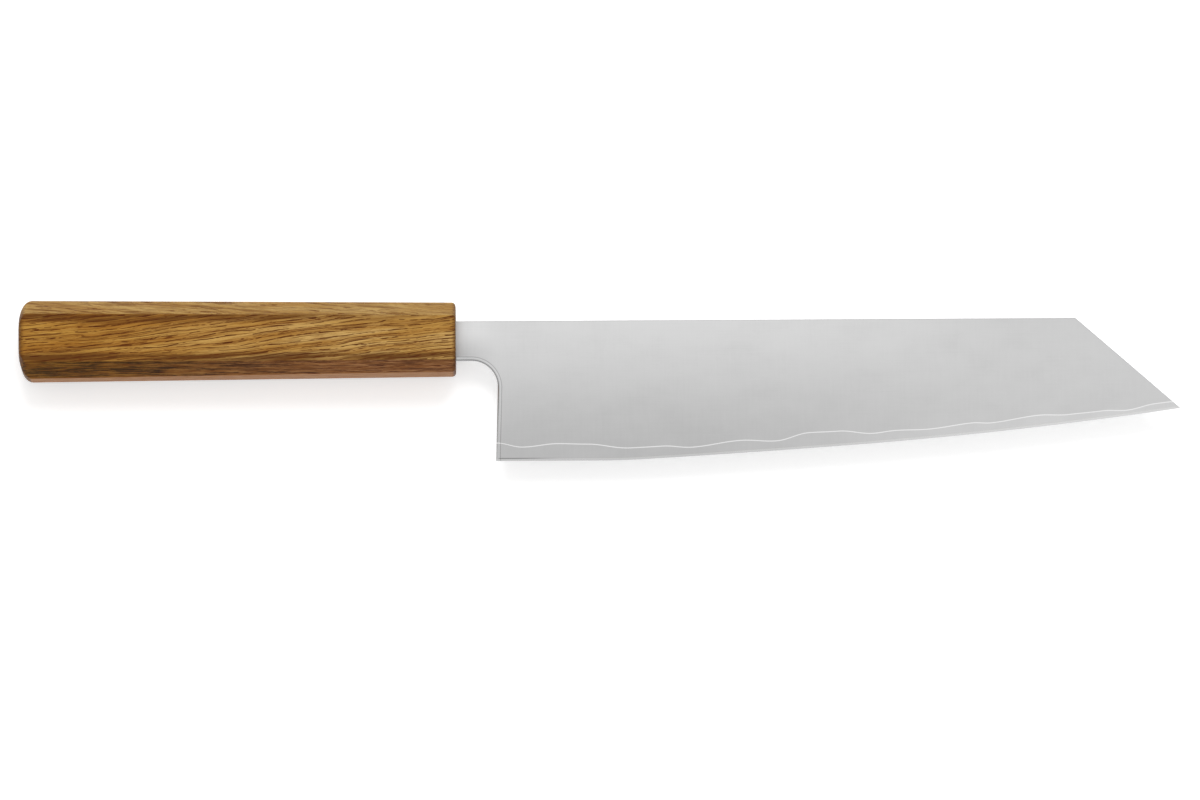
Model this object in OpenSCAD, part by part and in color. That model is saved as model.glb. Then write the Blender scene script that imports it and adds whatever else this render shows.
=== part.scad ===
// Kitchen knife with a squared, sword-like tip, lying on its left side with its right face up.
// Millimetres. +X runs from the handle to the tip, +Y to the spine and +Z up.
// The modules build in knife places, with X = 0 at the handle's front face, Y = 0 on the
// handle's axis and Z = 0 in the middle plane of the blade. settle() then moves them to the row.

/* [Show] */
// which sub-part is drawn

/* [Handle] */
// length of the wooden handle
handle_length = 134; // [120:1:145]
// half of the handle's height at its butt
butt_half_height = 12.1; // [10:0.1:14]
// half of the handle's height at its front
front_half_height = 10.8; // [9:0.1:13]
// half of the handle's thickness
handle_half_thickness = 10.5; // [8:0.1:13]
// direction that an upper bevel faces, turned from the spine side
upper_bevel_turn = 39.4; // [30:0.1:60]
// distance of an upper bevel from the axis, at the butt
upper_bevel_butt = 12.38; // [10:0.01:14]
// distance of an upper bevel from the axis, at the front
upper_bevel_front = 11.45; // [9:0.01:14]
// direction that a lower bevel faces, turned from the spine side
lower_bevel_turn = 142.4; // [120:0.1:150]
// distance of a lower bevel from the axis, all the way along
lower_bevel_out = 12.35; // [10:0.01:14]
// radius of the eased edge around the front face
front_round = 1.2; // [0.5:0.1:2.5]

/* [Blade outline] */
// height of the spine above the handle's axis
spine_y = 5.5; // [3:0.1:8]
// height of the neck's underside
neck_y = -6.9; // [-10:0.1:-4]
// radius of the curve between neck and heel
choil_radius = 8; // [4:0.5:12]
// face of the heel, ahead of the handle, at its upper end
heel_face_x = 12.7; // [8:0.1:20]
// how far the heel leans back toward the handle at its corner
heel_lean = 0.5; // [0:0.1:2]
// height of the heel corner
heel_y = -37.7; // [-45:0.1:-30]
// length from the heel corner to the tip
edge_length = 210.1; // [180:0.1:240]
// distance from the heel corner to the corner of the spine
spine_corner_reach = 178; // [150:0.5:200]
// radius that breaks the corner of the spine
spine_corner_round = 1.5; // [0.2:0.1:4]
// where the flat of the edge ends and the belly starts
belly_start_x = 44; // [30:1:60]
// where the first short bend of the belly ends
belly_bend_x = 58.3; // [50:0.1:70]
// where the belly turns up toward the tip
belly_rise_x = 120; // [100:1:150]
// radius of the first short bend
bend_radius = 260; // [150:10:600]
// radius of the long middle stretch
middle_radius = 4000; // [1500:100:9000]
// radius of the stretch up to the tip
tip_radius = 1400; // [800:50:3000]

/* [Blade thickness] */
// half thickness at the spine above the heel
heel_half_thickness = 1.25; // [0.8:0.05:2]
// half thickness at the spine's corner
corner_half_thickness = 0.62; // [0.3:0.01:1]
// half thickness behind the bevel at the heel
behind_bevel_half = 0.22; // [0.1:0.01:0.4]
// half thickness left on the very edge
edge_half_thickness = 0.03; // [0.02:0.01:0.1]
// rise of the edge bevel for each millimetre
bevel_slope = 0.27; // [0.15:0.01:0.4]
// width of the broken edge along the spine and the clipped back
spine_break = 0.35; // [0.1:0.05:0.8]
// width of the polished rounding along neck, choil and heel
choil_round_width = 1.5; // [0.5:0.1:2.5]

/* [Layers] */
// share of the thickness that is the hard core
core_share = 0.28; // [0.2:0.01:0.5]
// share of the thickness inside the outer claddings
bonded_share = 0.42; // [0.3:0.01:0.6]
// width of the bright bond line on the face of the blade
bond_line_width = 0.3; // [0.2:0.05:1]

/* [Tang] */
// how far the tang reaches into the handle
tang_length = 95; // [60:5:110]
// height of the tang just behind its shoulder
tang_height = 8.2; // [6:0.1:10]
// height of the tang at its end
tang_end_height = 4.4; // [3:0.1:8]
// room for the adhesive around the tang
tang_room = 0.3; // [0.1:0.05:1]
// half thickness of the slot in the handle
slot_half_thickness = 1.6; // [1.4:0.05:2.5]

/* [Hidden] */

// places of the chief corners
heel_x = heel_face_x - heel_lean;
tip_x = heel_x + edge_length;
corner_x = heel_x + spine_corner_reach;
choil_centre = [heel_face_x - choil_radius, neck_y - choil_radius];

// what the edge bevel takes off the point, and the highest place of the handle past its rounding
tip_blunted = 0.065;
handle_top_y = 12.06;

// where the row's origin lies: under the middle of the knife's box
row_shift = [
    (handle_length - tip_x + tip_blunted) / 2,
    (-heel_y - handle_top_y) / 2,
    handle_half_thickness
];

// room that the cutting bodies have beyond the part
beyond = 30;
cutter_side = 500;
cutter_depth = 20;
blank_half = 2;

// The handle's eight sides: direction faced, distance from the axis at butt and front,
// and the length and depth of the rounding at the butt.
handle_sides = [
    [0, butt_half_height, front_half_height, 4.2, 8],
    [upper_bevel_turn, upper_bevel_butt, upper_bevel_front, 2.6, 5],
    [90, handle_half_thickness, handle_half_thickness, 1.2, 2.4],
    [lower_bevel_turn, lower_bevel_out, lower_bevel_out, 2.6, 5],
    [180, butt_half_height, front_half_height, 4.2, 8],
    [-lower_bevel_turn, lower_bevel_out, lower_bevel_out, 2.6, 5],
    [-90, handle_half_thickness, handle_half_thickness, 1.2, 2.4],
    [-upper_bevel_turn, upper_bevel_butt, upper_bevel_front, 2.6, 5]
];

// The blade's ground faces, each a plane: place and half thickness there,
// then the rise for each millimetre toward the tip and toward the spine.
upper_face = [heel_x, spine_y, heel_half_thickness, -0.0022, 0.015];
lower_face = [heel_x, heel_y, behind_bevel_half, -0.0019, 0.036];
tip_face = [corner_x, spine_y, corner_half_thickness, -0.0055, 0.01];
tang_face = [0, spine_y, heel_half_thickness + 0.02, 0.0047, 0.015];
ground_faces = [upper_face, lower_face, tip_face, tang_face];

// The forged line between cladding and core: its high and low points from heel to tip,
// as distance from the heel corner and height above the edge.
line_bends = [
    [0, 5.4], [8, 4.1], [19, 5.1], [28, 4.9], [41, 3.5], [51, 3.5], [60, 2.6], [75, 3.7],
    [86, 2.8], [96, 4.6], [105, 4.4], [116, 2.9], [122, 3.2], [133, 2.7], [146, 3.3],
    [152, 2.7], [166, 3.4], [176, 2.5], [186, 2.3], [194, 1.5], [202, 2.3], [215, 2]
];

// Height gained past a place where the edge starts to bend with a radius.
function lift(x, from_x, radius) = x > from_x ? pow(x - from_x, 2) / (2 * radius) : 0;

// Height of the cutting edge.
function edge_y(x) = heel_y
    + lift(x, belly_start_x, bend_radius)
    - lift(x, belly_bend_x, bend_radius)
    + lift(x, belly_bend_x, middle_radius)
    - lift(x, belly_rise_x, middle_radius)
    + lift(x, belly_rise_x, tip_radius);

// Slope of the cutting edge.
function edge_slope(x) = (edge_y(x + 0.5) - edge_y(x - 0.5));

// Height of the forged line above the edge, eased between its high and low points.
function line_rise(reach, i = 0) =
    i > len(line_bends) - 2 ? line_bends[len(line_bends) - 1][1] :
    reach > line_bends[i + 1][0] ? line_rise(reach, i + 1) :
    let (
        part = max(0, (reach - line_bends[i][0]) / (line_bends[i + 1][0] - line_bends[i][0])),
        ease = (1 - cos(180 * part)) / 2
    )
    line_bends[i][1] + ease * (line_bends[i + 1][1] - line_bends[i][1]);

// Points on an arc around a centre.
function arc(centre, radius, from_turn, to_turn, steps) = [
    for (i = [0:steps])
        let (turn = from_turn + (to_turn - from_turn) * i / steps)
        centre + radius * [cos(turn), sin(turn)]
];

// One side of the handle, seen square on to its edge: a plane that tapers from butt to front,
// with an elliptic rounding at the butt and a small one at the front.
module handle_side(side) {
    butt_out = side[1];
    front_out = side[2];
    round_length = side[3];
    round_depth = side[4];
    fall = (front_out - butt_out) / handle_length;
    butt_curve = [
        for (turn = [180:-15:90])
            let (along = round_length * (1 + cos(turn)))
            [along - handle_length, butt_out + fall * along - round_depth * (1 - sin(turn))]
    ];
    front_curve = arc([-front_round, front_out - front_round], front_round, 90, 0, 4);
    rotate([side[0], 0, 0])
        linear_extrude(height = 2 * beyond, center = true)
            polygon(concat([[0, -beyond], [-handle_length, -beyond]], butt_curve, front_curve));
}

// Outline of the tang, grown on all sides by the room around it.
function tang_outline(room) = let (middle = (spine_y + neck_y) / 2) [
    [-5, neck_y - room],
    [-8, middle - tang_height / 2 - room],
    [2 * room - tang_length, -tang_end_height / 2 - room],
    [-tang_length - room, -tang_end_height / 4],
    [-tang_length - room, tang_end_height / 4],
    [2 * room - tang_length, tang_end_height / 2 + room],
    [-8, middle + tang_height / 2 + room],
    [-5, spine_y + room]
];

// The slot that is burnt into the handle for the tang.
module tang_slot(front_reach) {
    mouth = [[front_reach, spine_y + tang_room], [front_reach, neck_y - tang_room]];
    linear_extrude(height = 2 * slot_half_thickness, center = true)
        polygon(concat(mouth, tang_outline(tang_room)));
}

// Side view of the whole forging: tang, neck, heel, edge, tip and spine.
module blade_outline() {
    clip_fall = atan2(spine_y - edge_y(tip_x), tip_x - corner_x);
    corner_back = spine_corner_round * tan(clip_fall / 2);
    corner_centre = [corner_x - corner_back, spine_y - spine_corner_round];
    edge_places = concat(
        [heel_x, belly_start_x, 47.5, 51, 54.5, belly_bend_x],
        [for (i = [1:5]) belly_bend_x + i * (belly_rise_x - belly_bend_x) / 5],
        [for (i = [1:12]) belly_rise_x + i * (tip_x - belly_rise_x) / 12]
    );
    polygon(concat(
        [for (i = [7:-1:0]) tang_outline(0)[i]],
        arc(choil_centre, choil_radius, 90, 0, 12),
        [for (x = edge_places) [x, edge_y(x)]],
        arc(corner_centre, spine_corner_round, 90 - clip_fall, 90, 4)
    ));
}

// Everything above a sloping plane, with its heights taken as a share of the blade's.
module over_plane(face, share = 1) {
    side_turn = -atan(share * face[3]);
    translate([face[0], face[1], share * face[2]])
        rotate([atan(share * face[4] * cos(side_turn)), side_turn, 0])
            translate([-cutter_side / 2, -cutter_side / 2, 0])
                cube([cutter_side, cutter_side, cutter_depth]);
}

// Everything outside the ground faces of the right side, or of a layer inside it.
module over_ground_faces(share) {
    for (face = ground_faces) {
        over_plane(face, share);
    }
}

// The broken edge along the spine and the clipped back.
module broken_back() {
    fall_x = tip_x - corner_x;
    fall_y = edge_y(tip_x) - spine_y;
    clip_length = norm([fall_x, fall_y]);
    along = [fall_x, fall_y] / clip_length;
    outward = [-along.y, along.x];
    tip_half = 0.16;
    thinning = (tip_half - corner_half_thickness) / clip_length;
    clip_slope = thinning * along - outward;
    clip_break = 0.6 * spine_break;
    over_plane([heel_x, spine_y - spine_break, heel_half_thickness, upper_face[3], -1]);
    over_plane([corner_x, spine_y - spine_break, corner_half_thickness, tip_face[3], -1]);
    over_plane(concat(
        [corner_x, spine_y] - clip_break * outward,
        [corner_half_thickness, clip_slope.x, clip_slope.y]
    ));
}

// The bevel that follows the cutting edge, as planes that touch it at even places.
module edge_bevel() {
    for (x = [28, 51, 89, 137, 171, 205]) {
        turn = atan(edge_slope(x));
        over_plane([x, edge_y(x), edge_half_thickness, -bevel_slope * sin(turn), bevel_slope * cos(turn)]);
    }
}

// Section of what the polished rounding takes off, from the face inward.
module rounding_section() {
    depth = 1.12;
    curve = [
        for (turn = [0:15:90])
            [choil_round_width * (1 - cos(turn)), depth * sin(turn)]
    ];
    polygon(concat([[-1, 0]], curve, [[choil_round_width, blank_half + 1], [-1, blank_half + 1]]));
}

// The rounding along the neck, around the choil and down the heel, with a plane that keeps
// it as wide where the blade is thin.
module choil_rounding() {
    translate([choil_centre.x - 2 * choil_radius, neck_y, 0])
        rotate([90, 0, 90])
            linear_extrude(height = 2 * choil_radius)
                rounding_section();
    translate([choil_centre.x, choil_centre.y, 0])
        rotate_extrude(angle = 90, $fn = 72)
            translate([choil_radius, 0])
                rounding_section();
    translate([heel_face_x, choil_centre.y, 0])
        rotate([0, 0, -atan(heel_lean / (choil_centre.y - heel_y))])
            rotate([90, 0, 0])
                linear_extrude(height = beyond)
                    rounding_section();
    intersection() {
        over_plane([heel_x, heel_y, 0.45 * behind_bevel_half, 0.1, 0.0346]);
        translate([heel_x - 1, heel_y - 1, 0])
            cube([2 * choil_radius, choil_centre.y - heel_y + 1, blank_half + 1]);
    }
}

// The whole ground and finished forging, before it is told apart in layers.
module forging() {
    difference() {
        linear_extrude(height = 2 * blank_half, center = true)
            blade_outline();
        for (side = [0, 1]) {
            mirror([0, 0, side]) {
                over_ground_faces(1);
                broken_back();
                edge_bevel();
                choil_rounding();
            }
        }
    }
}

// Right half of the space above the forged line, raised by a width.
module above_line(raised) {
    step = 2.5;
    steps = ceil((edge_length + 10) / step);
    line = [
        for (i = [0:steps])
            let (reach = i * step - 2)
            [heel_x + reach, edge_y(heel_x + reach) + line_rise(reach) + raised]
    ];
    far_back = -tang_length - beyond;
    linear_extrude(height = blank_half + 1)
        polygon(concat(
            [[far_back, line[0].y]],
            line,
            [[line[steps].x, beyond], [far_back, beyond]]
        ));
}

// What lies outside the core on the right side, above the forged line.
module outside_core() {
    intersection() {
        above_line(0);
        over_ground_faces(core_share);
    }
}

// What lies outside the bond layer on the right side.
module outside_bond() {
    intersection() {
        above_line(bond_line_width);
        over_ground_faces(bonded_share);
    }
}

// Moves knife places to the row.
module settle() {
    translate(row_shift)
        children();
}

// The eight-sided wooden handle with the slot for the tang.
module handle() {
    color([0.6, 0.44, 0.22])
        settle()
            difference() {
                intersection_for (side = handle_sides) {
                    handle_side(side);
                }
                tang_slot(1);
            }
}

// The adhesive that fills the slot around the tang.
module tang_adhesive() {
    color([0.25, 0.2, 0.15])
        settle()
            difference() {
                tang_slot(0);
                forging();
            }
}

// The hard core, with the whole of the cutting edge and the middle of the tang.
module core_steel() {
    color([0.66, 0.66, 0.67])
        settle()
            difference() {
                forging();
                outside_core();
                mirror([0, 0, 1])
                    outside_core();
            }
}

// One bright layer between core and cladding, as it lies on the right side.
module bond_layer() {
    difference() {
        intersection() {
            forging();
            outside_core();
        }
        outside_bond();
    }
}

// The bright layer on the right side.
module right_bond_layer() {
    color([0.92, 0.92, 0.93])
        settle()
            bond_layer();
}

// The bright layer on the left side.
module left_bond_layer() {
    color([0.92, 0.92, 0.93])
        settle()
            mirror([0, 0, 1])
                bond_layer();
}

// One outer cladding, as it lies on the right side.
module cladding() {
    intersection() {
        forging();
        outside_bond();
    }
}

// The cladding of the right face.
module right_cladding() {
    color([0.78, 0.78, 0.79])
        settle()
            cladding();
}

// The cladding of the left face.
module left_cladding() {
    color([0.78, 0.78, 0.79])
        settle()
            mirror([0, 0, 1])
                cladding();
}

handle();
tang_adhesive();
core_steel();
right_bond_layer();
left_bond_layer();
right_cladding();
left_cladding();
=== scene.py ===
import math

import bmesh
import bpy
import numpy as np
from mathutils import Matrix, Vector


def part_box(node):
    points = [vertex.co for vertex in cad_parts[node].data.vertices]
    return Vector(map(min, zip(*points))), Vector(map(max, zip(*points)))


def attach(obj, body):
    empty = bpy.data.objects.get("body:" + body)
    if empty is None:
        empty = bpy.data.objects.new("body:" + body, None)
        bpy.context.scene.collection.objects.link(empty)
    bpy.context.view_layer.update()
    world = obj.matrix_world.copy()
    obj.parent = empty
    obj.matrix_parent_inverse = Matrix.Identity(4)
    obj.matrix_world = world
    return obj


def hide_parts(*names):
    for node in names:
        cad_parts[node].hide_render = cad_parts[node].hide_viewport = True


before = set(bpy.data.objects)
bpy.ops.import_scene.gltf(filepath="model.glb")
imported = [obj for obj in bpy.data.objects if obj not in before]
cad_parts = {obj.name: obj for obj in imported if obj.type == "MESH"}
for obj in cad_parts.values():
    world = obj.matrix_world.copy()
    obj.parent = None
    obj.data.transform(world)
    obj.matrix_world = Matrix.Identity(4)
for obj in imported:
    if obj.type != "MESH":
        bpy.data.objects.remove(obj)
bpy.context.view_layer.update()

# Sizes are in millimetres in knife places: X from the handle's front to the tip, Y to the
# spine and Z out of the right face, with zero on the handle's axis in the blade's middle plane.
MM = 0.001
HANDLE_LOW, HANDLE_HIGH = (np.array(corner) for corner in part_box("handle"))
HANDLE_MIDDLE = (HANDLE_LOW + HANDLE_HIGH) / 2
ORIGIN = np.array([HANDLE_HIGH[0], HANDLE_MIDDLE[1], HANDLE_MIDDLE[2]])

HANDLE_LENGTH = 134.0
SPINE_Y = 5.5
NECK_Y = -6.9
CHOIL_RADIUS = 8.0
HEEL_FACE_X = 12.7
HEEL_LEAN = 0.5
HEEL_Y = -37.7
EDGE_LENGTH = 210.1
TIP_BLUNTED = 0.07
CORNER_REACH = 178.0
HEEL_X = HEEL_FACE_X - HEEL_LEAN
TIP_X = HEEL_X + EDGE_LENGTH - TIP_BLUNTED
CORNER_X = HEEL_X + CORNER_REACH
CHOIL_X = HEEL_FACE_X - CHOIL_RADIUS
CHOIL_Y = NECK_Y - CHOIL_RADIUS

# The layers' shares of the half thickness, and the finished edges of the blade.
CORE_SHARE = 0.28
BONDED_SHARE = 0.42
BOND_LINE = 0.3
ROUND_WIDTH = 1.35
ROUND_MARGIN = 0.2
SPINE_EASE = 0.3
SPINE_DROP = 0.22
BEVEL_SLOPE = 0.27
EDGE_HALF = 0.03
FACE_SOFTNESS = 0.025

# The edge's bends: where each starts and ends, and its radius.
EDGE_BENDS = [(44.0, 58.3, 260.0), (58.3, 120.0, 4000.0), (120.0, 400.0, 1400.0)]

# The tang's outline: place along the knife, then its lower and upper edge.
TANG = np.array([
    [-95.0, -2.2, 2.2],
    [-8.0, -4.8, 3.4],
    [-5.0, NECK_Y, SPINE_Y],
])
TANG_ROOM = 0.3
SLOT_HALF = 1.6

# Columns of the blade's grids on each stretch of the lower outline, tang to heel.
TANG_COLUMNS = 9
NECK_COLUMNS = 8
CHOIL_COLUMNS = 24
HEEL_COLUMNS = 21
HEEL_START = TANG_COLUMNS + NECK_COLUMNS + CHOIL_COLUMNS
LINE_START = HEEL_START + HEEL_COLUMNS

# Along the forged line the columns stand this far apart. They slant near the heel, where
# these two lengths of the line and of the spine belong together.
COLUMN_STEP = 0.5
HEEL_FAN = 12.0
SPINE_FAN = 10.0

# The ground faces: place and half thickness there, then rise toward the tip and the spine.
GROUND_FACES = [
    (HEEL_X, SPINE_Y, 1.25, -0.0022, 0.015),
    (HEEL_X, HEEL_Y, 0.22, -0.0019, 0.036),
    (CORNER_X, SPINE_Y, 0.62, -0.0055, 0.010),
    (0.0, SPINE_Y, 1.27, 0.0047, 0.015),
]

# High and low points of the forged line: distance from the heel and height above the edge.
LINE_BENDS = np.array([
    [-3, 6.2], [0, 5.4], [8, 4.1], [19, 5.1], [28, 4.9], [41, 3.5], [51, 3.5], [60, 2.6],
    [75, 3.7], [86, 2.8], [96, 4.6], [105, 4.4], [116, 2.9], [122, 3.2], [133, 2.7],
    [146, 3.3], [152, 2.7], [166, 3.4], [176, 2.5], [186, 2.3], [194, 1.5], [202, 2.3],
    [215, 2.0],
])

# The handle's sides: direction faced, distance from the axis at butt and front, and the
# length and depth of the rounding at the butt.
HANDLE_SIDES = np.array([
    [0.0, 12.1, 10.8, 4.2, 8.0],
    [39.4, 12.38, 11.45, 2.6, 5.0],
    [90.0, 10.5, 10.5, 1.2, 2.4],
    [142.4, 12.35, 12.35, 2.6, 5.0],
    [180.0, 12.1, 10.8, 4.2, 8.0],
    [217.6, 12.35, 12.35, 2.6, 5.0],
    [270.0, 10.5, 10.5, 1.2, 2.4],
    [320.6, 12.38, 11.45, 2.6, 5.0],
])
SIDE_TURN, SIDE_AT_BUTT, SIDE_AT_FRONT, BUTT_ROUND, BUTT_DEPTH = HANDLE_SIDES.T
FRONT_ROUND = 1.2
LONG_EDGE_ROUND = 0.55

# Where the upper slope's line lies at the front and how much higher a millimetre further
# back, the same for the face underneath, and the height of the lower slope's line.
UPPER_LINE_Y = 6.2
UPPER_LINE_FALL = 0.009
UNDER_FACE_Y = -10.68
UNDER_FACE_FALL = 0.0097
LOWER_LINE_Y = -7.5

WHITE = (1.0, 1.0, 1.0, 1.0)
BLACK = (0.0, 0.0, 0.0, 1.0)
SHADOWED = (0.05, 0.05, 0.05, 1.0)


def set_up_camera():
    """A long lens over the knife, leaning 7 degrees to the edge side and turned a little."""
    lens = 500.0
    sensor = 36.0
    picture_width = 368.2
    picture_middle = np.array([44.15, -19.0, 0.0])
    tilt = math.radians(83.0)
    roll = math.radians(0.33)
    distance = picture_width * lens / sensor * MM
    target = Vector(ORIGIN + picture_middle * MM)
    back = Vector((0.0, -math.cos(tilt), math.sin(tilt)))
    right = Vector((1.0, 0.0, 0.0))
    up = back.cross(right)
    turned_right = right * math.cos(roll) - up * math.sin(roll)
    turned_up = right * math.sin(roll) + up * math.cos(roll)
    data = bpy.data.cameras.new("camera")
    data.type = "PERSP"
    data.lens = lens
    data.sensor_width = sensor
    data.clip_end = 20.0
    camera = bpy.data.objects.new("camera", data)
    bpy.context.scene.collection.objects.link(camera)
    turn = Matrix((turned_right, turned_up, back)).transposed().to_4x4()
    camera.matrix_world = Matrix.Translation(target + back * distance) @ turn
    bpy.context.scene.camera = camera


class Wire:
    """A shader socket that can stand in a sum; each operation adds its Math node."""

    def __init__(self, graph, socket):
        self.graph = graph
        self.socket = socket

    def work(self, operation, first, second=0.0):
        return self.graph.make("ShaderNodeMath", {"operation": operation}, {0: first, 1: second})

    def __add__(self, other):
        return self.work("ADD", self, other)

    __radd__ = __add__

    def __mul__(self, other):
        return self.work("MULTIPLY", self, other)

    __rmul__ = __mul__

    def __sub__(self, other):
        return self.work("SUBTRACT", self, other)

    def __rsub__(self, other):
        return self.work("SUBTRACT", other, self)

    def at_least(self, other):
        return self.work("MAXIMUM", self, other)

    def size(self):
        return self.work("ABSOLUTE", self)

    def wave(self):
        return self.work("SINE", self)

    def root(self):
        return self.work("SQRT", self)

    def other(self, name):
        """Another output of the same node."""
        return Wire(self.graph, self.socket.node.outputs[name])


class Graph:
    """The nodes of one material or world."""

    def __init__(self, owner):
        owner.use_nodes = True
        self.tree = owner.node_tree
        self.tree.nodes.clear()

    def make(self, kind, settings=None, inputs=None, output=0):
        """Adds a node: first its settings, then the values or links of its sockets."""
        node = self.tree.nodes.new(kind)
        for name, value in (settings or {}).items():
            setattr(node, name, value)
        for key, value in (inputs or {}).items():
            self.feed(node, key, value)
        if not node.outputs:
            return node
        return Wire(self, node.outputs[output])

    def feed(self, node, key, value):
        """Links a wire to a node's socket, or sets the socket's value."""
        if isinstance(value, Wire):
            self.tree.links.new(value.socket, node.inputs[key])
        else:
            node.inputs[key].default_value = value

    def places(self):
        """The point's X, Y and Z in knife places, in millimetres."""
        coordinates = self.make("ShaderNodeTexCoord", output="Object")
        apart = self.make("ShaderNodeSeparateXYZ", None, {0: coordinates})
        return [(apart.other(axis) - float(ORIGIN["XYZ".index(axis)])) * (1.0 / MM) for axis in "XYZ"]

    def noise(self, x, y, z, detail, roughness=0.5, distortion=0.0):
        """Smooth noise from 0 to 1 at a place given by three numbers or wires."""
        place = self.make("ShaderNodeCombineXYZ", None, {0: x, 1: y, 2: z})
        return self.make("ShaderNodeTexNoise", {"noise_dimensions": "3D"}, {
            "Vector": place, "Scale": 1.0, "Detail": detail, "Roughness": roughness,
            "Distortion": distortion,
        })

    def rise(self, value, start, end, low=0.0, high=1.0):
        """A smooth step from low to high as the value goes from start to end."""
        return self.make(
            "ShaderNodeMapRange", {"interpolation_type": "SMOOTHSTEP"},
            {"Value": value, "From Min": start, "From Max": end, "To Min": low, "To Max": high},
        )

    def band(self, value, middle, full, faded):
        """1 within full of the middle, falling smoothly to 0 at the distance faded."""
        return self.rise((value - middle).size(), full, faded, 1.0, 0.0)

    def blend(self, factor, first, second):
        """A colour between two colours."""
        return self.make(
            "ShaderNodeMix", {"data_type": "RGBA"}, {0: factor, 6: first, 7: second}, output=2,
        )


class Finish:
    """A material whose colour is built up, one stain over another."""

    def __init__(self, name):
        self.material = bpy.data.materials.new(name)
        self.graph = Graph(self.material)
        self.shader = self.graph.make("ShaderNodeBsdfPrincipled")
        self.graph.make("ShaderNodeOutputMaterial", None, {"Surface": self.shader})
        self.x, self.y, self.z = self.graph.places()
        self.colour = None

    def stain(self, mask, colour):
        """Lays a colour over the one so far, where the mask is above 0."""
        self.colour = self.graph.blend(mask, self.colour, colour)

    def feed(self, socket, value):
        self.graph.feed(self.shader.socket.node, socket, value)


def linear(red, green, blue):
    """A colour given as it shows on a screen, 0 to 255, as light values."""
    shares = np.array([red, green, blue]) / 255.0
    light = np.where(shares <= 0.04045, shares / 12.92, ((shares + 0.055) / 1.055) ** 2.4)
    return (*light.tolist(), 1.0)


def grey(tone):
    """A neutral tone, given as it shows on a screen."""
    return linear(tone, tone, tone)


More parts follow.
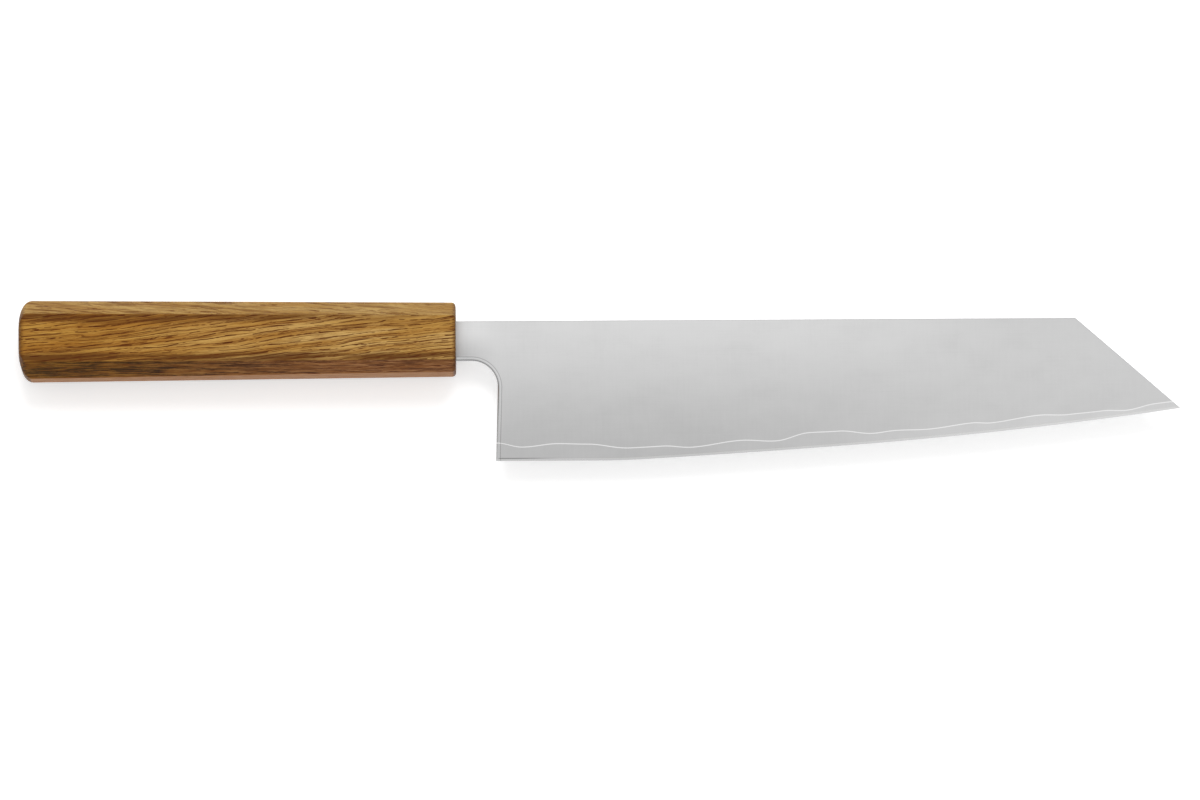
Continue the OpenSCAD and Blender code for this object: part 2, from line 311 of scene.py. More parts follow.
class BurntWood(Finish):
    """Open-grained wood, burnt and brushed: amber growth rings, dark pore dashes that climb slowly toward
    the blade, and smoky bands along the flats and the lower slopes. Its slopes, the face underneath and
    the rounded ends also carry painted light and shade."""

    def __init__(self):
        super().__init__("burnt_wood")
        graph, x, y = self.graph, self.x, self.y
        self.along = graph.rise(x, -125.0, -15.0)
        self.wander = graph.noise(x * (1 / 40), y * (1 / 12), self.z * (1 / 12), 2.0)
        soft_line = 0.1
        above_line = y + x * UPPER_LINE_FALL
        self.upper_slope = graph.rise(above_line, UPPER_LINE_Y - soft_line, UPPER_LINE_Y + soft_line)
        self.lower_slope = graph.rise(y, LOWER_LINE_Y + soft_line, LOWER_LINE_Y - soft_line)
        climb = 0.105 - self.upper_slope * 0.19 - self.lower_slope * 0.1
        self.across = y - (x + 60.0) * climb + self.wander * 3.5
        self.depth = self.z * 0.4
        self.broad = self.grain(45, 3, 4.0, 0.6)
        self.fibre = self.grain(8, 0.3125, 4.0, 0.7)
        self.streak = self.grain(30, 0.77, 3.0, 0.65)
        self.early = self.growth_rings(3.4, 1.5, self.grain(60, 5, 3.0), -0.3, 0.9)
        self.lay_ground()
        self.tint_slopes_with_painted_light()
        self.smoke_flats()
        self.sink_pores()
        self.char_slopes()
        self.darken_ends()

    def grain(self, length, width, detail, roughness=0.5, distortion=0.0):
        """Noise in streaks about so long with the grain and so wide across it."""
        return self.graph.noise(
            self.x * (1 / length), self.across * (1 / width), self.depth * (1 / width),
            detail, roughness, distortion,
        )

    def growth_rings(self, width, bend, noise, start, end):
        """A sine across the grain with one wave for each ring, bent by noise, and stepped."""
        waves = ((self.across + self.depth) * (1 / width) + noise * bend) * (2 * math.pi)
        return self.graph.rise(waves.wave(), start, end)

    def aged(self, butt, front):
        """A colour that changes from the butt to the front."""
        return self.graph.blend(self.along, butt, front)

    def lay_ground(self):
        """Amber and honey in broad patches, with darker and paler fibres."""
        rise = self.graph.rise
        amber = self.aged(linear(164, 113, 42), linear(182, 138, 68))
        honey = self.aged(linear(184, 138, 62), linear(204, 168, 104))
        self.colour = self.graph.blend(rise(self.broad, 0.38, 0.66), amber, honey)
        self.stain(rise(self.fibre, 0.4, 0.7) * 0.5, linear(138, 88, 30))
        self.stain(self.early * 0.3, linear(136, 84, 28))
        self.stain(rise(self.fibre, 0.44, 0.3) * 0.4, linear(212, 170, 98))

    def tint_slopes_with_painted_light(self):
        """Olive on the slopes toward the spine, paler as painted sheen, and umber on those toward the
        edge, darker as painted shade.
        """
        patches = self.graph.rise(self.broad, 0.35, 0.65)
        olive = self.graph.blend(patches, linear(160, 122, 64), linear(182, 150, 92))
        # painted sheen: paler olive on the upper slopes
        self.stain(self.upper_slope * 0.75, olive)
        # painted shade: darker umber on the lower slopes
        self.stain(self.lower_slope * 0.85, self.aged(linear(116, 68, 10), linear(146, 90, 50)))

    def smoke_flats(self):
        """A smoky band under the upper slope's line, fading to the front, and one above the
        lower slope's line, both broken by the streaks."""
        graph, x, y = self.graph, self.x, self.y
        smoke = graph.noise(x * (1 / 28), y * 0.8, self.z * 0.8, 4.0, 0.65)
        upper_at = y + x * 0.006 + (self.wander - 0.5) * 2.0
        upper = graph.band(upper_at, 5.4, 0.5, 2.3) * graph.rise(x, -70.0, 0.0, 1.0, 0.2)
        upper = upper * (1.0 - self.upper_slope * 0.85) * graph.rise(self.streak, 0.34, 0.6, 0.15, 1.0)
        lower = graph.band(y + (smoke - 0.5) * 2.2, -6.3, 0.4, 2.0)
        lower = lower * graph.rise(self.streak, 0.34, 0.52, 0.3, 1.0)
        self.stain(upper.at_least(lower) * 0.85, linear(84, 46, 14))

    def sink_pores(self):
        """Dark streaks, hairlines, single pores, rows of pores along the rings and specks.
        Pores and hairlines are also sunk in the surface."""
        rise = self.graph.rise
        streaks = rise(self.streak, 0.56, 0.66) * rise(self.early, 0.1, 0.7, 0.35, 1.0)
        hairlines = rise(self.grain(22, 0.294, 2.0, 0.55), 0.57, 0.62)
        pores = rise(self.grain(4.5, 0.385, 2.0, 0.55, 0.3), 0.6, 0.64)
        pores = pores * rise(self.early, 0.0, 0.5, 0.4, 1.0)
        rows = self.growth_rings(1.15, 2.6, self.grain(24, 4.5, 3.0, 0.6), 0.72, 0.97)
        rows = rows * rise(self.grain(4.0, 0.91, 2.0, 0.6), 0.42, 0.5)
        rows = rows * (1.0 - self.upper_slope * 0.7) * (1.0 - self.lower_slope * 0.5)
        specks = rise(self.grain(2.0, 0.2, 2.0), 0.62, 0.68)
        self.stain(streaks * 0.75, linear(100, 56, 14))
        self.stain(hairlines * 0.7, linear(96, 50, 14))
        self.stain(pores * 0.85, linear(92, 42, 12))
        self.stain(rows * 0.95, linear(76, 30, 5))
        self.stain(specks * 0.55, linear(118, 68, 24))
        height = self.fibre * 0.3 - pores * 0.8 - hairlines * 0.4 - rows * 0.9
        bump = {"Strength": 0.45, "Distance": 0.12 * MM, "Height": height}
        self.feed("Normal", self.graph.make("ShaderNodeBump", None, bump))
        self.feed("Roughness", rise(pores, 0.0, 1.0, 0.5, 0.7))
        self.feed("Specular IOR Level", 0.1)

    def char_slopes(self):
        """Charred streaks and paler fibres on the lower slopes, brown streaks on the upper ones, and
        pinkish tan on the face underneath, painted light from the floor below."""
        rise = self.graph.rise
        charred = rise(self.grain(18, 0.588, 4.0, 0.7), 0.46, 0.54)
        charred = charred * self.lower_slope * rise(self.along, 0.3, 1.0, 1.0, 0.6)
        self.stain(charred * 0.9, self.aged(linear(50, 32, 8), linear(66, 28, 18)))
        paler = rise(self.fibre, 0.5, 0.6) * self.lower_slope
        self.stain(paler * 0.75, self.aged(linear(156, 108, 40), linear(184, 130, 84)))
        self.stain(rise(self.streak, 0.5, 0.62) * self.upper_slope * 0.6, linear(116, 76, 28))
        # painted light: the face underneath is paler, as if lit from the floor below
        below = self.y - self.x * UNDER_FACE_FALL
        underneath = rise(below, UNDER_FACE_Y + 0.06, UNDER_FACE_Y - 0.06)
        pinkish = self.graph.blend(rise(self.fibre, 0.4, 0.6), linear(198, 144, 92), linear(166, 108, 62))
        self.stain(underneath * 0.9, pinkish)

    def darken_ends(self):
        """Browner rounded edges at the butt and the front: darker end grain, with painted shade on the
        roundings.
        """
        butt = self.graph.rise(self.x, 0.4 - HANDLE_LENGTH, 2.0 - HANDLE_LENGTH, 1.0, 0.0)
        front = self.graph.rise(self.x, -1.4, -0.2)
        # end grain colour and painted shade on the rounded ends
        self.stain(butt.at_least(front) * 0.55, linear(84, 46, 18))
        self.feed("Base Color", self.colour)


class SatinSteel(Finish):
    """Fine satin steel whose tone, a painted reflection, falls from the spine to the line and clears
    toward the tip, with a polished band round the choil and a honed bevel at the edge, both carrying
    painted light."""

    def __init__(self, name, top_tone, low_tone, tip_tone, roughness):
        super().__init__(name)
        self.strokes = self.graph.noise(self.x * (1 / 14), self.y * 2.8, self.z, 3.0, 0.6)
        self.tone_with_painted_reflection(top_tone, low_tone, tip_tone)
        self.shade_neck()
        polished = self.polish_choil_with_painted_line()
        honed = self.hone_edge_with_painted_light()
        satin = self.graph.rise(self.strokes, 0.3, 0.7, roughness - 0.03, roughness + 0.03)
        self.feed("Base Color", self.colour)
        self.feed("Metallic", 1.0)
        self.feed("Roughness", satin * (1.0 - polished * 0.6) * (1.0 - honed * 0.3))

    def tone_with_painted_reflection(self, top_tone, low_tone, tip_tone):
        """The steel's tone with painted reflection, darker from the spine down to the line and clearer
        toward the tip, a painted highlight on the neck's top, and faint clouds and two directions of
        brushing.
        """
        graph, x, y = self.graph, self.x, self.y
        # painted reflection: the tone falls from the spine to the line
        lowness = graph.rise(y, 7.0, -36.0)
        self.colour = graph.blend(lowness, grey(top_tone), grey(low_tone))
        # painted reflection: the tone clears toward the tip
        self.stain(graph.rise(x, 60.0, 215.0) * lowness, grey(tip_tone))
        self.stain(graph.rise(x, 105.0, 195.0) * (1.0 - lowness), grey(tip_tone))
        # painted highlight: lighter on the neck's top next to the handle
        self.stain(graph.rise(x, 16.0, 5.0) * graph.rise(y, -4.0, 3.0) * 0.18, WHITE)
        cloud = graph.noise(x * (1 / 16), y * (1 / 9), self.z, 4.0, 0.6)
        cross = graph.noise(x * 1.6, y * (1 / 10), self.z, 2.0)
        mottle = (cloud - 0.5) * 0.16 + (self.strokes - 0.5) * 0.10 + (cross - 0.5) * 0.05
        self.stain((0.0 - mottle).at_least(0.0), BLACK)
        self.stain(mottle.at_least(0.0), WHITE)

    def shade_neck(self):
        """Painted shade: the neck darkens toward its underside."""
        shade = self.graph.rise(self.x, 14.0, 2.0) * self.graph.rise(self.y, 3.0, -7.0)
        self.stain(shade * 0.16, BLACK)

    def polish_choil_with_painted_line(self):
        """A polished band as wide as the rounding, with a painted dark reflection as a fine line along
        its inner side.
        How far in a point lies is its distance from the choil's centre, where places left of
        it or below it count as level with it, less the choil's radius."""
        lean = self.graph.rise(self.y, CHOIL_Y, HEEL_Y, 0.0, HEEL_LEAN)
        beside = (self.x - CHOIL_X + lean).at_least(0.0)
        above = (self.y - CHOIL_Y).at_least(0.0)
        inward = (beside * beside + above * above).root() - CHOIL_RADIUS
        # painted reflection: a fine dark line along the rounding's inner side
        self.stain(self.graph.band(inward, ROUND_WIDTH - 0.05, 0.05, 0.22) * 0.35, SHADOWED)
        return self.graph.rise(inward, ROUND_WIDTH - 0.1, ROUND_WIDTH + 0.05, 1.0, 0.0)

    def hone_edge_with_painted_light(self):
        """A honed bevel, brighter with a painted highlight, with a painted shade line over it that fades
        away from the heel.
        """
        graph, x = self.graph, self.x
        edge_gap = graph.make("ShaderNodeAttribute", {"attribute_name": "from_edge"}, output="Fac")
        near_heel = graph.rise(x, 34.0, 18.0) * graph.rise(x, 12.4, 13.6)
        # painted shade: a dark line over the bevel near the heel
        self.stain(graph.band(edge_gap, 0.75, 0.05, 0.3) * near_heel * 0.55, SHADOWED)
        honed = graph.rise(edge_gap, 0.62, 0.72, 1.0, 0.0)
        # painted highlight: the honed bevel is lighter
        self.stain(honed * 0.12, WHITE)
        return honed


def cured_adhesive():
    """Dark cured resin, a little uneven."""
    resin = Finish("cured_adhesive")
    resin.feed("Base Color", linear(70, 55, 44))
    resin.feed("Roughness", 0.5)
    return resin.material


def pale_floor():
    """A matt pale floor that shows to the camera as white, with the knife's shadow on it."""
    material = bpy.data.materials.new("pale_floor")
    graph = Graph(material)
    seen = graph.make("ShaderNodeLightPath", output="Is Camera Ray")
    seen = seen.at_least(seen.other("Is Glossy Ray")).at_least(seen.other("Is Transmission Ray"))
    matt = graph.make("ShaderNodeBsdfDiffuse", None, {"Color": (0.86, 0.86, 0.86, 1.0)})
    lift = graph.make("ShaderNodeEmission", None, {"Color": WHITE, "Strength": seen * 0.46})
    both = graph.make("ShaderNodeAddShader", None, {0: matt, 1: lift})
    graph.make("ShaderNodeOutputMaterial", None, {"Surface": both})
    return material


def studio_world():
    """Soft light from above that dims toward the horizon; white where the camera sees it."""
    world = bpy.data.worlds.new("studio")
    bpy.context.scene.world = world
    graph = Graph(world)
    direction = graph.make("ShaderNodeTexCoord", output="Generated")
    height = graph.make("ShaderNodeSeparateXYZ", None, {0: direction}, output="Z")
    seen = graph.make("ShaderNodeLightPath", output="Is Camera Ray")
    soft = graph.rise(height, 0.0, 0.9, 0.25, 0.78)
    mirrored = graph.rise(height, 0.1, 0.95, 0.22, 1.04)
    level = soft + seen.other("Is Glossy Ray") * (mirrored - soft)
    level = level + seen * (1.0 - level)
    background = graph.make("ShaderNodeBackground", None, {"Color": WHITE, "Strength": level})
    graph.make("ShaderNodeOutputWorld", None, {"Surface": background})


def soft_lamp():
    """One large soft lamp beyond the spine, which throws the shadow toward the edge side."""
    data = bpy.data.lights.new("soft_lamp", "AREA")
    data.shape = "DISK"
    data.size = 0.9
    data.energy = 10.5
    lamp = bpy.data.objects.new("soft_lamp", data)
    bpy.context.scene.collection.objects.link(lamp)
    place = Vector((0.0, 0.85, 1.15))
    lamp.location = place
    lamp.visible_glossy = False
    lamp.rotation_euler = place.to_track_quat("Z", "Y").to_euler()


def make_mesh(name, points, face_blocks, material, sharp_turn=35.0):
    """A smooth-shaded object in the row's frame from points in knife places and arrays of
    faces; edges that turn by more than sharp_turn degrees stay crisp."""
    faces = sum((block.tolist() for block in face_blocks), [])
    mesh = bpy.data.meshes.new(name)
    mesh.from_pydata((points * MM + ORIGIN).tolist(), [], faces)
    mesh.materials.append(material)
    piece = bpy.data.objects.new(name, mesh)
    bpy.context.scene.collection.objects.link(piece)
    close_seams(mesh)
    note_edge_gap(mesh)
    mesh.shade_smooth()
    mesh.set_sharp_from_angle(angle=math.radians(sharp_turn))
    return piece


def close_seams(mesh):
    """Merges doubled points, drops empty faces and turns every face outward."""
    work = bmesh.new()
    work.from_mesh(mesh)
    bmesh.ops.remove_doubles(work, verts=work.verts, dist=0.0005 * MM)
    bmesh.ops.dissolve_degenerate(work, edges=work.edges, dist=0.0002 * MM)
    bmesh.ops.recalc_face_normals(work, faces=work.faces)
    work.to_mesh(mesh)
    work.free()


def note_edge_gap(mesh):
    """Stores how far each point lies above the cutting edge, for the honed bevel's finish and its painted
    light.
    """
    places = np.empty(len(mesh.vertices) * 3)
    mesh.vertices.foreach_get("co", places)
    places = (places.reshape(-1, 3) - ORIGIN) / MM
    gap = mesh.attributes.new("from_edge", "FLOAT", "POINT")
    gap.data.foreach_set("value", places[:, 1] - edge_y(places[:, 0]))


def grid_faces(rows, columns, wrap=False):
    """Quads between neighbouring points of a grid whose points run along its rows."""
    row = np.arange(rows - 1)[:, None]
    column = np.arange(columns if wrap else columns - 1)[None, :]
    beside = (column + 1) % columns
    corners = [
        row * columns + column, row * columns + beside,
        (row + 1) * columns + beside, (row + 1) * columns + column,
    ]
    return np.stack(np.broadcast_arrays(*corners), axis=-1).reshape(-1, 4)


def place_on(piece, node):
    """The piece rides on the knife and stands for its node, which is hidden."""
    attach(piece, "root")
    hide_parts(node)


def quarter_drop(part):
    """How far a quarter circle of radius 1 lies below its top, from 1 at part 0 to 0 at 1."""
    part = np.clip(part, 0, 1)
    return 1 - np.sqrt(np.clip(1 - (1 - part) ** 2, 0, 1))


def handle_section(sides_out, corner_round, steps=4):
    """Rings of the eight-sided section: at each corner the two neighbouring sides, moved in by
    the corner's radius, meet in a centre, and an arc of that radius joins them.
    sides_out holds one row of eight distances for each ring."""
    turn = np.radians(SIDE_TURN)
    after = np.radians(np.append(SIDE_TURN[1:], 360.0))
    inner = sides_out - corner_round
    inner_after = np.roll(inner, -1, axis=1)
    spread = np.sin(after - turn)
    centre_y = (inner * np.sin(after) - inner_after * np.sin(turn)) / spread
    centre_z = (inner_after * np.cos(turn) - inner * np.cos(after)) / spread
    part = np.linspace(0.0, 1.0, steps)
    swing = turn[:, None] + (after - turn)[:, None] * part
    ring_y = centre_y[:, :, None] + corner_round * np.cos(swing)
    ring_z = centre_z[:, :, None] + corner_round * np.sin(swing)
    rings = len(sides_out)
    return ring_y.reshape(rings, -1), ring_z.reshape(rings, -1)


def slot_ring(up, down, half_width, count, shift):
    """A closed ring on the slot's rectangle: in each direction, the nearer of its sides."""
    turn = 2 * np.pi * (np.arange(count) + 0.5) / count
    half_height = (up + down) / 2
    reach = 1 / np.maximum(np.abs(np.cos(turn)) / half_height, np.abs(np.sin(turn)) / half_width)
    ring_y = (up - down) / 2 + reach * np.cos(turn)
    return np.roll(ring_y, shift), np.roll(reach * np.sin(turn), shift)


def handle_profile():
    """Places along the handle and the eight sides' distances there: each side rounds in at
    the butt along its own quarter ellipse, runs straight, and rounds in at the front."""
    fall = (SIDE_AT_FRONT - SIDE_AT_BUTT) / HANDLE_LENGTH
    butt_x = BUTT_ROUND.max() * (1 - np.cos(np.radians(np.linspace(0, 90, 10))))
    butt_drop = BUTT_DEPTH * quarter_drop(butt_x[:, None] / BUTT_ROUND)
    body_x = np.linspace(8.0, HANDLE_LENGTH - FRONT_ROUND - 1.0, 60)
    swing = np.radians(np.linspace(0, 90, 7))
    front_x = HANDLE_LENGTH - FRONT_ROUND * (1 - np.sin(swing))
    x = np.concatenate([butt_x, body_x, front_x])
    sides = SIDE_AT_BUTT + fall * x[:, None]
    sides[:len(butt_x)] -= butt_drop
    sides[-len(front_x):] -= FRONT_ROUND * (1 - np.cos(swing))[:, None]
    return x - HANDLE_LENGTH, sides


def make_handle(wood):
    """The eight-sided handle: rings of its section from the butt to the front, then in over
    the front face and along the slot for the tang, with a fan of faces closing each end."""
    x, sides = handle_profile()
    ring_y, ring_z = handle_section(sides, LONG_EDGE_ROUND)
    count = ring_y.shape[1]
    ring_turn = np.arctan2(ring_z[-1], ring_y[-1])
    shift = int(np.argmin(np.abs(ring_turn - np.pi / count)))
    slot_end = TANG[0, 0] - TANG_ROOM
    slot_places = np.array([0.0, TANG[2, 0], TANG[1, 0], slot_end])
    slot_rings = [
        slot_ring(TANG[i, 2] + TANG_ROOM, TANG_ROOM - TANG[i, 1], SLOT_HALF, count, shift)
        for i in (2, 2, 1, 0)
    ]
    all_x = np.concatenate([x, slot_places])
    all_y = np.vstack([ring_y] + [ring[0] for ring in slot_rings])
    all_z = np.vstack([ring_z] + [ring[1] for ring in slot_rings])
    rings = np.stack([np.broadcast_to(all_x[:, None], all_y.shape), all_y, all_z], axis=-1)
    centres = [[-HANDLE_LENGTH, 0.0, 0.0], [slot_end, 0.0, 0.0]]
    points = np.vstack([rings.reshape(-1, 3), centres])
    butt_centre = len(points) - 2
    last = (len(all_x) - 1) * count
    ring = np.arange(count)
    beside = (ring + 1) % count
    butt_fan = np.stack([np.full(count, butt_centre), beside, ring], axis=1)
    slot_fan = np.stack([np.full(count, butt_centre + 1), last + ring, last + beside], axis=1)
    face_blocks = [grid_faces(len(all_x), count, wrap=True), butt_fan, slot_fan]
    piece = make_mesh("handle_wood", points, face_blocks, wood, 50.0)
    place_on(piece, "handle")


def edge_y(x):
    """Height of the cutting edge: from each bend's start it gains the square of the distance
    over twice the radius, and goes on straight past the bend's end."""
    gain = np.zeros_like(x)
    for start, end, radius in EDGE_BENDS:
        bent = np.clip(x - start, 0, None) ** 2 - np.clip(x - end, 0, None) ** 2
        gain = gain + bent / (2 * radius)
    return HEEL_Y + gain


def line_y(x):
    """Height of the forged line: the edge plus a rise that eases between its bends."""
    reach = np.clip(x - HEEL_X, LINE_BENDS[0, 0], LINE_BENDS[-1, 0])
    i = np.clip(np.searchsorted(LINE_BENDS[:, 0], reach) - 1, 0, len(LINE_BENDS) - 2)
    part = (reach - LINE_BENDS[i, 0]) / (LINE_BENDS[i + 1, 0] - LINE_BENDS[i, 0])
    ease = (1 - np.cos(np.pi * part)) / 2
    return edge_y(x) + LINE_BENDS[i, 1] + ease * (LINE_BENDS[i + 1, 1] - LINE_BENDS[i, 1])


def heel_face(y):
    """Place of the heel's face, which leans back a little toward the corner."""
    return HEEL_FACE_X - HEEL_LEAN * np.clip((CHOIL_Y - y) / (CHOIL_Y - HEEL_Y), 0, 1)


TIP = np.array([TIP_X, float(edge_y(np.array(TIP_X)))])
CORNER = np.array([CORNER_X, SPINE_Y])
CLIP_LENGTH = float(np.linalg.norm(TIP - CORNER))
CLIP_ALONG = (TIP - CORNER) / CLIP_LENGTH
CLIP_OUT = np.array([-CLIP_ALONG[1], CLIP_ALONG[0]])


def ground_half(x, y):
    """Half thickness of the ground faces, the least of four planes eased into each other by a
    smooth minimum."""
    planes = [z + along * (x - px) + up * (y - py) for px, py, z, along, up in GROUND_FACES]
    return -FACE_SOFTNESS * np.log(sum(np.exp(-plane / FACE_SOFTNESS) for plane in planes))


def from_choil(x, y):
    """Distance in from the neck's underside, the choil's curve or the heel's face."""
    curve = np.hypot(x - CHOIL_X, y - CHOIL_Y) - CHOIL_RADIUS
    return np.where(x <= CHOIL_X, y - NECK_Y, np.where(y <= CHOIL_Y, x - heel_face(y), curve))


def from_back(x, y):
    """Distance in from the spine or the clipped back, whichever is nearer."""
    clip = -((x - CORNER[0]) * CLIP_OUT[0] + (y - CORNER[1]) * CLIP_OUT[1])
    return np.minimum(SPINE_Y - y, clip)


def finished_half(x, y, bevelled=False):
    """Half thickness of the finished blade: the ground faces, rounded in a quarter ellipse at
    the choil, eased at the back, and cut by the bevel near the edge."""
    half = ground_half(x, y) * (1 - quarter_drop(from_choil(x, y) / ROUND_WIDTH))
    half = half * (1 - SPINE_DROP * quarter_drop(from_back(x, y) / SPINE_EASE))
    if bevelled:
        bevel = EDGE_HALF + BEVEL_SLOPE * np.clip(y - edge_y(x), 0, None)
        half = np.minimum(half, bevel)
    return half


def share_inset(share):
    """How far in from the choil a layer's share of the thickness comes to the surface."""
    return ROUND_WIDTH * (1 - math.sqrt(1 - share ** 2))


def line_end(raised):
    """Where the forged line, raised, meets the clipped back: the nearest of many places."""
    along = np.linspace(0, CLIP_LENGTH, 4000)
    places = CORNER + along[:, None] * CLIP_ALONG
    gap = places[:, 1] - line_y(places[:, 0]) - raised
    return places[int(np.argmin(np.abs(gap)))]


def tang_places(inset):
    """Places along the tang, with its lower and upper edge there; the lower one ends on the
    neck's underside, moved in by inset."""
    x = np.concatenate([
        np.linspace(TANG[0, 0], TANG[1, 0], TANG_COLUMNS - 2),
        np.linspace(TANG[1, 0], TANG[2, 0], 4)[1:-1],
    ])
    low = np.interp(x, TANG[:, 0], TANG[:, 1] + np.array([0.0, 0.0, inset]))
    return x, low, np.interp(x, TANG[:, 0], TANG[:, 2])


def sheet_columns(raised, share):
    """Ends of the columns that cover the blade above the forged line: the lower ends run along
    the tang and the neck, round the choil, down the heel and along the line, the upper ends
    along the tang, the spine and down the clip. Also each column's stop where the choil's
    rounding has run out; about the heel's corner the stops fan out, so that no columns cross."""
    inset = share_inset(share)
    tang_x, tang_low, tang_high = tang_places(inset)
    neck_x = np.linspace(TANG[2, 0], CHOIL_X, NECK_COLUMNS)
    swing = np.radians(np.linspace(90, 0, CHOIL_COLUMNS + 1))[1:]
    heel_part = np.arange(1, HEEL_COLUMNS + 1) / HEEL_COLUMNS
    line_top = float(line_y(np.array(HEEL_X + 0.1))) + raised
    heel_y = CHOIL_Y + (line_top - CHOIL_Y) * heel_part
    crossing = line_end(raised)
    first_x = float(heel_face(line_top)) + inset
    near = [0.05, 0.12, 0.22, 0.35, 0.5, 0.7, 0.95, 1.25]
    steps = np.concatenate([near, np.arange(1.6, crossing[0] - first_x, COLUMN_STEP)])
    line_x = np.append(first_x + steps, crossing[0])
    curve = CHOIL_RADIUS + inset
    low_x = np.concatenate([
        tang_x, neck_x, CHOIL_X + curve * np.cos(swing), heel_face(heel_y) + inset, line_x,
    ])
    low_y = np.concatenate([
        tang_low, np.full(NECK_COLUMNS, NECK_Y + inset), CHOIL_Y + curve * np.sin(swing), heel_y,
        np.append(line_y(line_x[:-1]) + raised, crossing[1]),
    ])
    straight = TANG_COLUMNS + NECK_COLUMNS
    in_x = np.concatenate([
        np.zeros(straight), np.cos(swing), np.ones(HEEL_COLUMNS), np.zeros(len(line_x)),
    ])
    in_y = np.concatenate([
        np.ones(straight), np.sin(swing), np.zeros(HEEL_COLUMNS), np.ones(len(line_x)),
    ])
    border = ROUND_WIDTH + ROUND_MARGIN
    stop_x = low_x + in_x * border
    stop_y = low_y + in_y * border
    stop_y[HEEL_START:LINE_START] += border * heel_part
    stop_x[LINE_START:] += border * (1 - np.clip((line_x - first_x) / HEEL_FAN, 0, 1))
    heel_back = HEEL_FACE_X + 1
    line_back = HEEL_X + SPINE_FAN
    far = CORNER_X + float(np.dot(crossing - CORNER, CLIP_ALONG))
    back_run = np.concatenate([
        neck_x, np.linspace(CHOIL_X, heel_back, CHOIL_COLUMNS + 1)[1:],
        np.linspace(heel_back, line_back, HEEL_COLUMNS + 1)[1:],
        line_back + (far - line_back) * (line_x - first_x) / (crossing[0] - first_x),
    ])
    past = np.clip(back_run - CORNER_X, 0, None)
    high_x = np.append(tang_x, np.minimum(back_run, CORNER_X) + past * CLIP_ALONG[0])
    high_y = np.append(tang_high, SPINE_Y + past * CLIP_ALONG[1])
    ends = [(low_x, low_y), (high_x, high_y), (stop_x, stop_y)]
    return [np.stack(pair, axis=1) for pair in ends]


def between(start, end, parts):
    """Places at these parts of the way from each start to its end."""
    return start[:, None] + (end - start)[:, None] * parts[None, :, None]


def sheet_places(raised, share):
    """The grid over the blade above the line: rows close together in the choil's rounding and
    at the back's eased edge, and even between them. Returns X and Y, columns by rows."""
    low, high, stop = sheet_columns(raised, share)
    span = np.linalg.norm(high - low, axis=1)
    reach = np.linalg.norm(stop - low, axis=1)
    first_stop = low + (stop - low) * np.minimum(1.0, 0.3 * span / reach)[:, None]
    rim = np.minimum(SPINE_EASE + 0.05, 0.2 * span)
    gap = np.maximum(np.linalg.norm(first_stop - high, axis=1), 1e-9)
    last_stop = high + (first_stop - high) * (rim / gap)[:, None]
    grid = np.concatenate([
        between(low, first_stop, 1 - np.cos(np.radians(np.linspace(0, 90, 12)))),
        between(first_stop, last_stop, np.linspace(0, 1, 18)[1:]),
        between(last_stop, high, np.linspace(0, 1, 6)[1:]),
    ], axis=1)
    return grid[..., 0], grid[..., 1]


def strip_places():
    """The grid over the core's bare strip: columns from the heel to the tip, close together in
    the heel's rounding, and rows from the edge, close together in the bevel, to the line."""
    crossing = line_end(0.0)
    near = np.array([0, 0.04, 0.1, 0.18, 0.28, 0.4, 0.55, 0.75, 1.0, 1.25])
    edge_run = np.concatenate([HEEL_X + near, np.arange(HEEL_X + 1.75, TIP_X, COLUMN_STEP), [TIP_X]])
    line_length = crossing[0] - HEEL_X
    rest = float(np.linalg.norm(TIP - crossing))
    top_run = (edge_run - HEEL_X) / (TIP_X - HEEL_X) * (line_length + rest)
    past = np.clip(top_run - line_length, 0, None)
    on_line = past <= 0
    top_x = np.where(on_line, HEEL_X + top_run, crossing[0] + past * CLIP_ALONG[0])
    top_y = np.where(on_line, line_y(HEEL_X + top_run), crossing[1] + past * CLIP_ALONG[1])
    bevel_rows = np.linspace(0, 0.9, 7)
    full_height = 5.4
    rows = np.concatenate([bevel_rows, np.linspace(1.1, full_height, 12)]) / full_height
    edge = np.stack([edge_run, edge_y(edge_run)], axis=1)
    grid = between(edge, np.stack([top_x, top_y], axis=1), rows)
    x, y = grid[..., 0], grid[..., 1]
    lean = (heel_face(y) - HEEL_X) * np.clip(1 - (x - HEEL_X) / HEEL_FAN, 0, 1)
    return x + lean, y


def bond_places():
    """The grid over the bright line: three rows across its width, from the heel's rounding to
    the clipped back."""
    low_end, high_end = line_end(0.0), line_end(BOND_LINE)
    line_top = float(line_y(np.array(HEEL_X + 0.1)))
    inner = float(heel_face(line_top)) + share_inset(CORE_SHARE)
    run = np.linspace(0, 1, 420)
    low_x = inner + (low_end[0] - inner) * run
    high_x = inner + (high_end[0] - inner) * run
    low = np.stack([low_x, line_y(low_x)], axis=1)
    high = np.stack([high_x, line_y(high_x) + BOND_LINE], axis=1)
    grid = between(low, high, np.array([0.0, 0.5, 1.0]))
    return grid[..., 0], grid[..., 1]


def slab(x, y, top, bottom):
    """A closed solid between two heights over one grid: its upper and lower sheets and the
    wall around them. Returns points and faces."""
    columns, rows = x.shape
    count = columns * rows
    upper = np.stack([x, y, top], axis=-1).reshape(-1, 3)
    lower = np.stack([x, y, bottom], axis=-1).reshape(-1, 3)
    sheet = grid_faces(columns, rows)
    index = np.arange(count).reshape(columns, rows)
    rim = np.concatenate([index[:, 0], index[-1, 1:], index[-2::-1, -1], index[0, -2:0:-1]])
    beside = np.roll(rim, -1)
    wall = np.stack([rim, beside, beside + count, rim + count], axis=1)
    return np.vstack([upper, lower]), np.vstack([sheet, sheet[:, ::-1] + count, wall])


def joined(first, second):
    """Two solids as the parts of one mesh."""
    return np.vstack([first[0], second[0]]), [first[1], second[1] + len(first[0])]


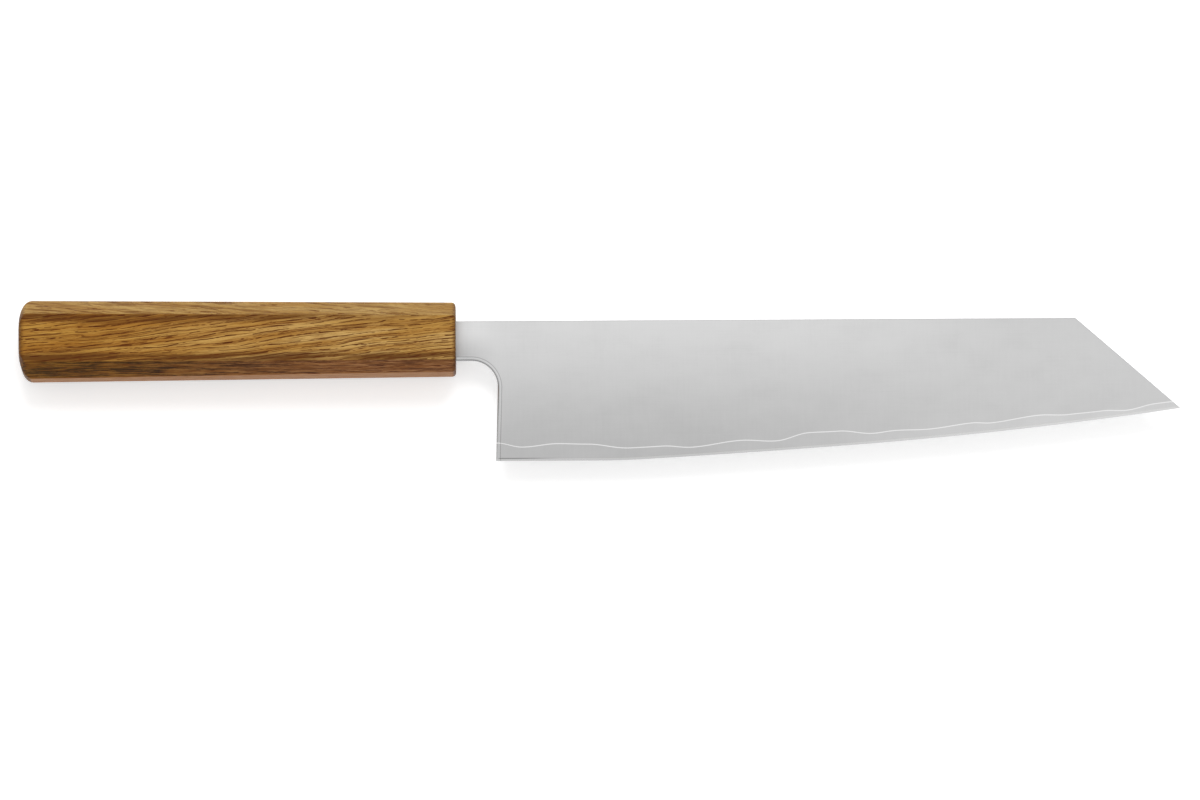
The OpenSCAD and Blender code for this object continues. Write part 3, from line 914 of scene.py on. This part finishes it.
def make_blade(cladding, core, bond):
    """The five layers of the forging, each a closed sheet over the same outline. A bond layer
    also has its strip along the line, and the core its bare strip with the edge."""
    for side, word in [(1.0, "right"), (-1.0, "left")]:
        x, y = sheet_places(BOND_LINE, BONDED_SHARE)
        outer = finished_half(x, y)
        inner = np.minimum(BONDED_SHARE * ground_half(x, y), outer)
        points, faces = slab(x, y, side * outer, side * inner)
        piece = make_mesh(word + "_cladding_sheet", points, [faces], cladding)
        place_on(piece, word + "_cladding")
        x, y = sheet_places(0.0, CORE_SHARE)
        outer = np.minimum(BONDED_SHARE * ground_half(x, y), finished_half(x, y))
        inner = np.minimum(CORE_SHARE * ground_half(x, y), outer)
        sheet = slab(x, y, side * outer, side * inner)
        x, y = bond_places()
        strip = slab(x, y, side * finished_half(x, y), side * BONDED_SHARE * ground_half(x, y))
        piece = make_mesh(word + "_bond_sheet", *joined(sheet, strip), bond)
        place_on(piece, word + "_bond_layer")
    x, y = sheet_places(0.0, 0.0)
    half = np.minimum(CORE_SHARE * ground_half(x, y), finished_half(x, y))
    sheet = slab(x, y, half, -half)
    x, y = strip_places()
    half = finished_half(x, y, bevelled=True)
    strip = slab(x, y, half, -half)
    piece = make_mesh("core_sheet", *joined(sheet, strip), core)
    place_on(piece, "core_steel")


def make_floor():
    """A wide floor that the knife lies on."""
    bpy.ops.mesh.primitive_plane_add(size=8.0, location=(0.0, 0.0, 0.0))
    floor = bpy.context.object
    floor.name = "floor"
    floor.data.materials.append(pale_floor())


def build_scene():
    set_up_camera()
    bpy.context.scene.view_settings.view_transform = "Standard"
    studio_world()
    soft_lamp()
    make_floor()
    make_handle(BurntWood().material)
    make_blade(
        cladding=SatinSteel(
            "satin_cladding", top_tone=216, low_tone=186, tip_tone=205, roughness=0.36).material,
        core=SatinSteel(
            "core_steel", top_tone=200, low_tone=186, tip_tone=212, roughness=0.34).material,
        bond=SatinSteel(
            "bond_metal", top_tone=232, low_tone=228, tip_tone=236, roughness=0.3).material,
    )
    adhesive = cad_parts["tang_adhesive"]
    adhesive.data.materials.clear()
    adhesive.data.materials.append(cured_adhesive())


build_scene()
